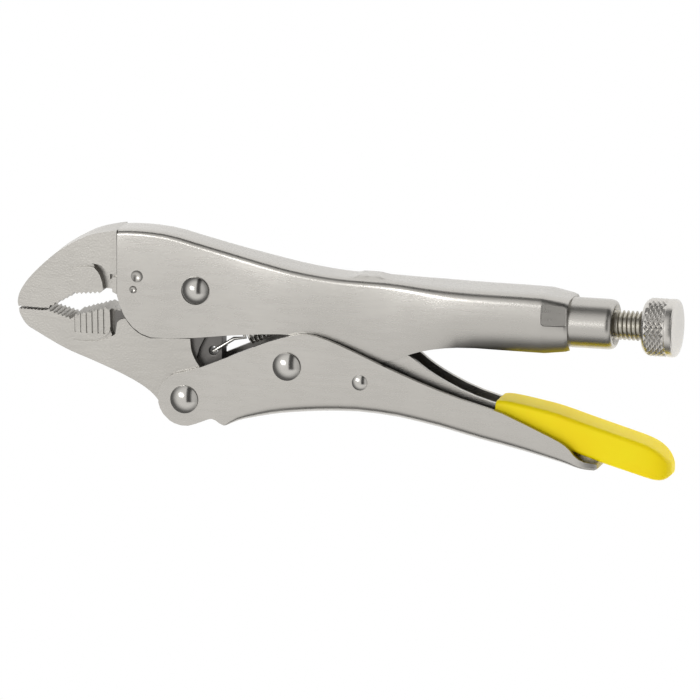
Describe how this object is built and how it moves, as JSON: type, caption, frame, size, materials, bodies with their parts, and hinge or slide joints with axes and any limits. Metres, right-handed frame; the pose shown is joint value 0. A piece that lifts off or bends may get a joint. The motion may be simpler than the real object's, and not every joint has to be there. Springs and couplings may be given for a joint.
{
  "type": "locking pliers",
  "caption": "Locking pliers with hinged curved jaws, a folded-sheet upper handle with jaw-setting screw, a lower handle, an over-centre link and a dipped-grip release lever.",
  "frame": {"origin": "centre of the tool's length and height, at the lowest face of its lower side when it lies flat", "axes": "+X from the jaw tip to the adjusting knob, +Y from the lower handle to the upper handle, +Z through the tool's thickness, along every rivet"},
  "size_m": [0.2264, 0.0746, 0.0234],
  "materials": {
    "satin_nickel": "satin nickel plate on pressed sheet steel",
    "forged_jaw": "satin nickel plate on forged steel",
    "polished_steel": "bright nickel plate",
    "dark_steel": "oiled bare steel",
    "yellow_vinyl": "smooth dipped vinyl"
  },
  "bodies": {
    "root": {"upper_handle": "satin_nickel", "upper_jaw": "forged_jaw", "end_bush": "satin_nickel", "jaw_pivot_rivet": "polished_steel", "jaw_spring": "dark_steel"},
    "lower_jaw": {"lower_jaw": "forged_jaw"},
    "lower_handle": {"lower_handle": "satin_nickel", "handle_pivot_rivet": "polished_steel", "link_rivet": "polished_steel", "lever_rivet": "polished_steel"},
    "toggle_link": {"toggle_link": "satin_nickel"},
    "release_lever": {"release_lever": "satin_nickel", "lever_grip": "yellow_vinyl"},
    "adjusting_screw": {"adjusting_screw": "dark_steel"},
    "adjusting_knob": {"adjusting_knob": "polished_steel"}
  },
  "joints": [
    {"name": "jaw_pivot", "type": "hinge", "parent": "root", "child": "lower_jaw", "pos_m": [-0.05115, 0.01781, 0.0117], "axis": [0, 0, 1], "range_deg": [0, 14], "deforming": ["jaw_spring"]},
    {"name": "handle_pivot", "type": "hinge", "parent": "lower_jaw", "child": "lower_handle", "pos_m": [-0.05445, -0.01899, 0.0117], "axis": [0, 0, 1], "range_deg": [-41.72, 0]},
    {"name": "link_pivot", "type": "hinge", "parent": "lower_handle", "child": "toggle_link", "pos_m": [-0.01895, -0.00544, 0.0117], "axis": [0, 0, 1], "range_deg": [0, 50.55]},
    {"name": "lever_pivot", "type": "hinge", "parent": "lower_handle", "child": "release_lever", "pos_m": [0.00615, -0.00934, 0.0117], "axis": [0, 0, 1], "range_deg": [0, 8]},
    {"name": "screw_travel", "type": "slide", "parent": "root", "child": "adjusting_screw", "axis": [1, 0, 0], "range_m": [0, 0.02]},
    {"name": "knob_turn", "type": "hinge", "parent": "adjusting_screw", "child": "adjusting_knob", "pos_m": [0.10435, 0.01351, 0.0117], "axis": [1, 0, 0], "range_deg": [0, 4801]}
  ],
  "couplings": [
    {"joint": "handle_pivot", "follows": "jaw_pivot", "ratio": -2.9786},
    {"joint": "link_pivot", "follows": "jaw_pivot", "ratio": 3.609},
    {"joint": "knob_turn", "follows": "screw_travel", "rad_per_m": 4188.8}
  ]
}
